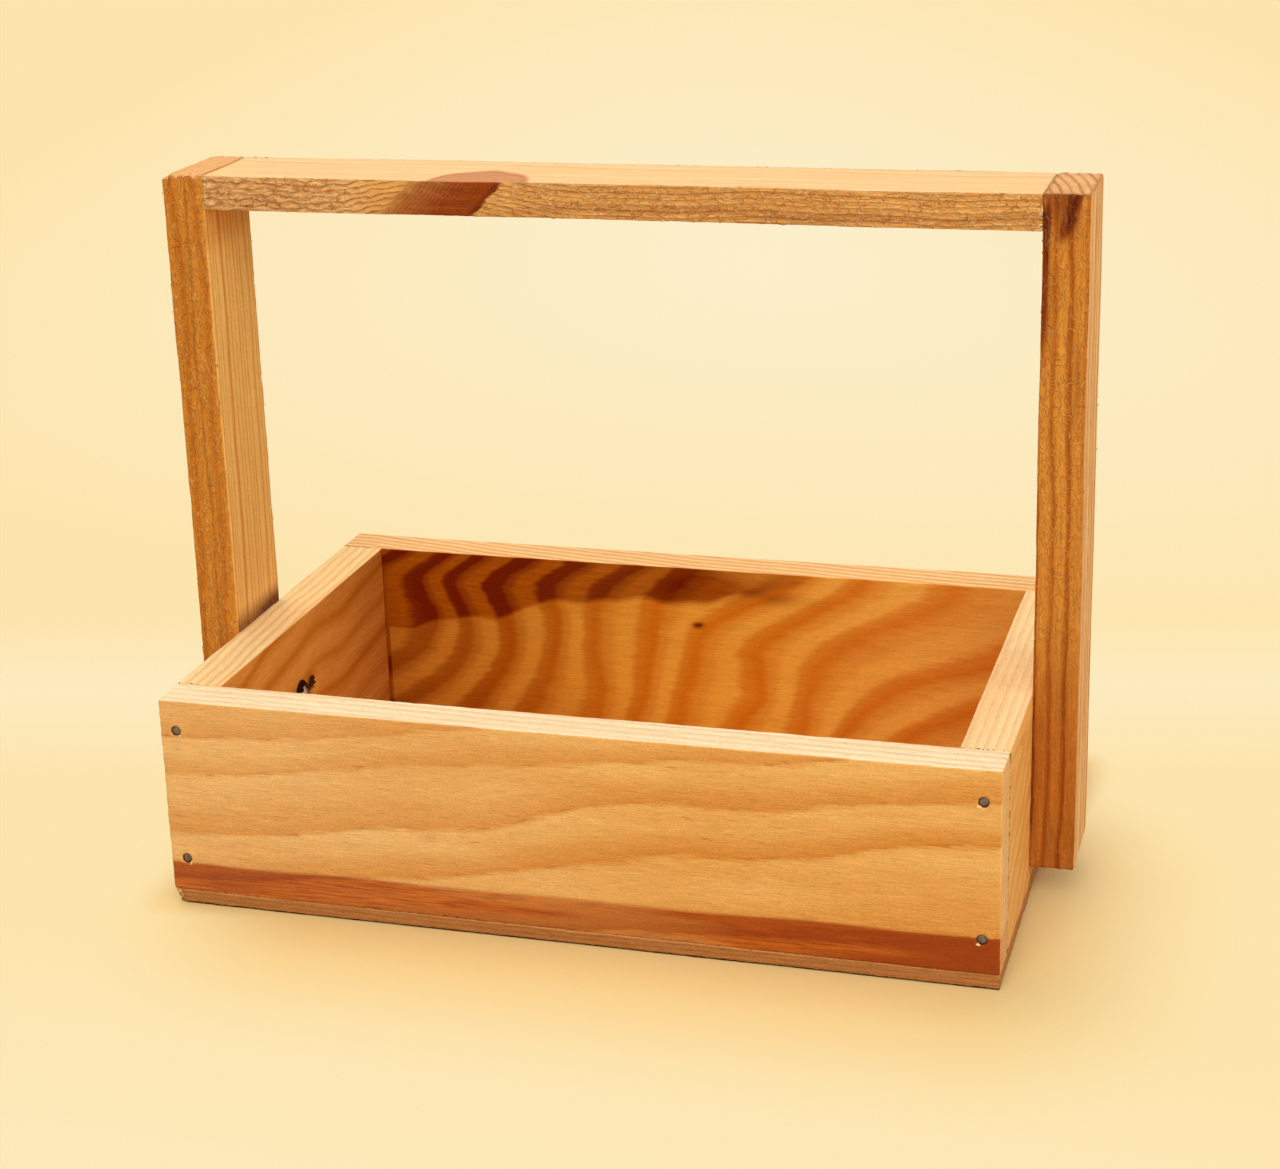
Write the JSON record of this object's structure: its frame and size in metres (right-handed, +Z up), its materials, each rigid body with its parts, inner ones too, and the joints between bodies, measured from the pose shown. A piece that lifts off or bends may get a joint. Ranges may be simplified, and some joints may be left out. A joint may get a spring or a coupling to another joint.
{
  "type": "wooden tray",
  "caption": "Open nailed pine box on a thin base sheet, with a fixed upright handle of posts and a crossbar, for carrying and sorting small things.",
  "frame": {"origin": "on the floor under the middle of the part's box, which is also the middle of the base sheet", "axes": "+X along the front board to the right, +Y from the front board to the back board, +Z up"},
  "size_m": [0.1684, 0.098, 0.1288],
  "materials": {
    "wall_pine": "planed amber pine with a thin satin varnish",
    "batten_pine": "rough-sawn pine batten, thinly varnished",
    "base_sheet": "thin raw wood sheet with a greyish sawn edge",
    "pin_steel": "dull grey steel, hammered flush",
    "screw_black": "blackened screw with a worn shine"
  },
  "bodies": {
    "root": {"base_board": "base_sheet", "front_board": "wall_pine", "back_board": "wall_pine", "left_end_board": "wall_pine", "right_end_board": "wall_pine", "left_post": "batten_pine", "right_post": "batten_pine", "crossbar": "batten_pine", "front_left_pin_upper": "pin_steel", "front_left_pin_lower": "pin_steel", "front_right_pin_upper": "pin_steel", "front_right_pin_lower": "pin_steel", "back_left_pin_upper": "pin_steel", "back_left_pin_lower": "pin_steel", "back_right_pin_upper": "pin_steel", "back_right_pin_lower": "pin_steel", "base_front_pin_left": "pin_steel", "base_front_pin_middle": "pin_steel", "base_front_pin_right": "pin_steel", "base_back_pin_left": "pin_steel", "base_back_pin_middle": "pin_steel", "base_back_pin_right": "pin_steel", "base_left_pin_front": "pin_steel", "base_left_pin_back": "pin_steel", "base_right_pin_front": "pin_steel", "base_right_pin_back": "pin_steel", "left_handle_pin_front": "pin_steel", "left_handle_pin_back": "pin_steel", "right_handle_pin_front": "pin_steel", "right_handle_pin_back": "pin_steel", "left_screw_upper": "screw_black", "left_screw_lower": "screw_black", "right_screw_upper": "screw_black", "right_screw_lower": "screw_black"}
  },
  "joints": []
}
